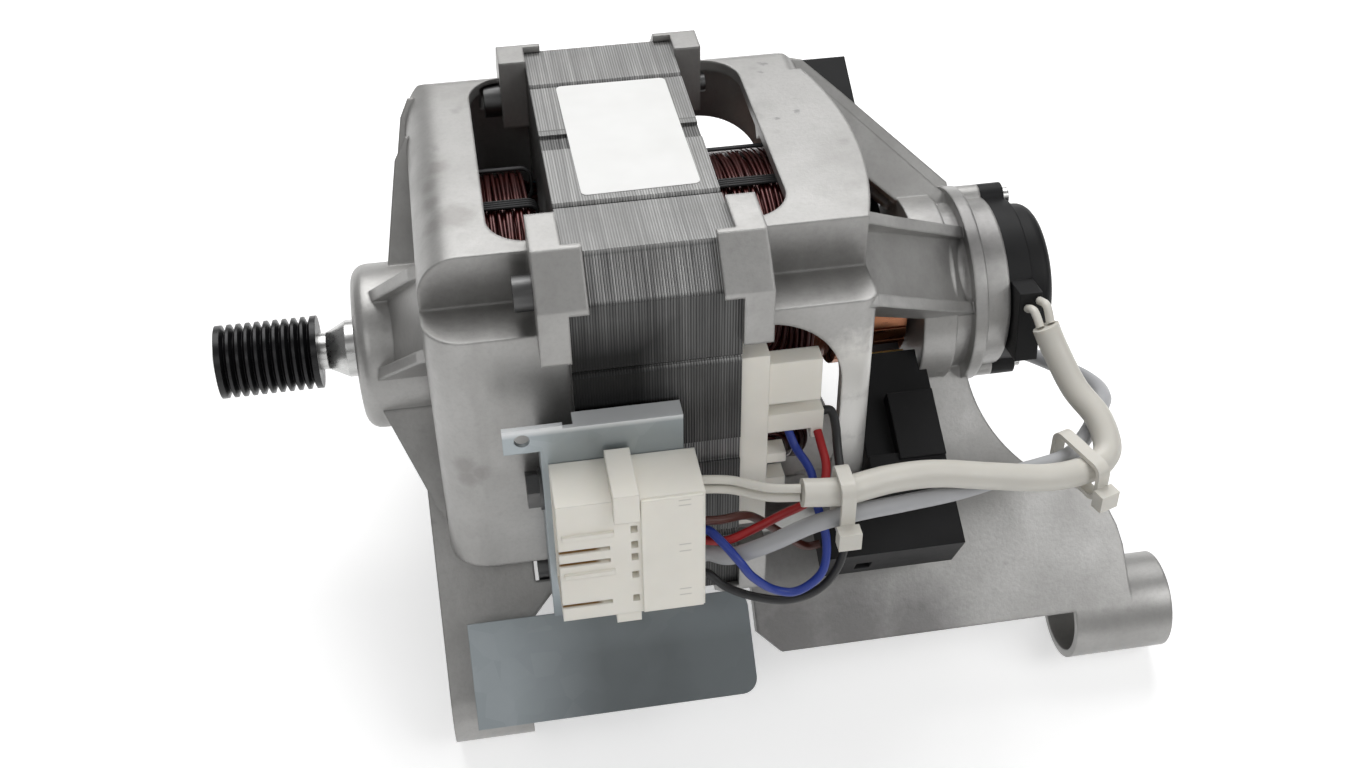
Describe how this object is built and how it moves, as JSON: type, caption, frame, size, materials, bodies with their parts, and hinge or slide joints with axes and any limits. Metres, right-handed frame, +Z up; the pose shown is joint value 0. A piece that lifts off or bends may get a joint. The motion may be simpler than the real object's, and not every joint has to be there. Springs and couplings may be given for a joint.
{
  "type": "washing machine motor",
  "caption": "Open-frame universal motor with a ribbed belt pulley, cast end shields with mounting barrels, a wound stator, brush gear, speed sensor and plug connector.",
  "frame": {"origin": "on the shaft's axis, at the middle of the belt track", "axes": "+X along the shaft from the pulley into the motor, +Z up from the shaft to the label face, -Y to the connector side"},
  "size_m": [0.2449, 0.1532, 0.1433],
  "materials": {
    "cast": "die-cast, matt",
    "lamination": "stacked sheet edges",
    "enamel_wire": "enamelled copper wire",
    "copper": "turned copper",
    "steel": "bright",
    "black_metal": "blackened steel",
    "zinc": "galvanised sheet",
    "black_plastic": "moulded",
    "resin": "moulded resin",
    "cream_plastic": "moulded",
    "carbon": "pressed carbon",
    "brass": "sheet",
    "magnet": "sintered ferrite",
    "liner": "insulating sheet",
    "lacing": "lacing cord",
    "white_pvc": "soft sleeve",
    "grey_pvc": "soft sleeve",
    "brown_pvc": "soft insulation",
    "red_pvc": "soft insulation",
    "blue_pvc": "soft insulation",
    "black_pvc": "soft insulation"
  },
  "bodies": {
    "frame": {"front_shield": "cast", "rear_shield": "cast", "stator_core": "lamination", "upper_field_coil": "enamel_wire", "lower_field_coil": "enamel_wire", "sensor_coil": "enamel_wire", "long_screws": "steel", "front_bearing_outer_race": "steel", "front_bearing_balls": "steel", "rear_bearing_outer_race": "steel", "rear_bearing_balls": "steel", "sensor_screws": "steel", "front_brush_spring": "steel", "back_brush_spring": "steel", "holder_screws": "steel", "bracket_screws": "steel", "connector_bracket": "zinc", "sensor_flange": "black_plastic", "sensor_cap": "black_plastic", "front_brush_holder": "black_plastic", "back_brush_holder": "black_plastic", "terminal_frame": "cream_plastic", "connector_housing": "cream_plastic", "connector_lock": "cream_plastic", "front_brush_tube": "brass", "back_brush_tube": "brass", "connector_contacts": "brass", "slot_liners": "liner", "coil_ties": "lacing", "white_sleeve": "white_pvc", "sensor_leads": "white_pvc", "sensor_plug_leads": "white_pvc", "cable_ties": "white_pvc", "grey_cable": "grey_pvc", "brown_wire": "brown_pvc", "red_wire": "red_pvc", "blue_wire": "blue_pvc", "black_wire": "black_pvc"},
    "rotor": {"shaft": "steel", "rotor_core": "lamination", "rotor_winding": "enamel_wire", "commutator": "copper", "commutator_hub": "resin", "drive_pulley": "black_metal", "front_bearing_inner_race": "steel", "rear_bearing_inner_race": "steel", "sensor_magnet": "magnet"},
    "front_brush_body": {"front_brush": "carbon"},
    "back_brush_body": {"back_brush": "carbon"}
  },
  "joints": [
    {"name": "rotor_spin", "type": "hinge", "parent": "frame", "child": "rotor", "pos_m": [0, 0, 0], "axis": [1, 0, 0], "continuous": true},
    {"name": "front_brush_slide", "type": "slide", "parent": "frame", "child": "front_brush_body", "axis": [0, -0.8829, -0.4695], "range_m": [0, 0.006], "stiffness_N_per_m": 300, "springref_m": -0.012, "deforming": ["front_brush_spring"]},
    {"name": "back_brush_slide", "type": "slide", "parent": "frame", "child": "back_brush_body", "axis": [0, 0.8829, 0.4695], "range_m": [0, 0.006], "stiffness_N_per_m": 300, "springref_m": -0.012, "deforming": ["back_brush_spring"]}
  ]
}
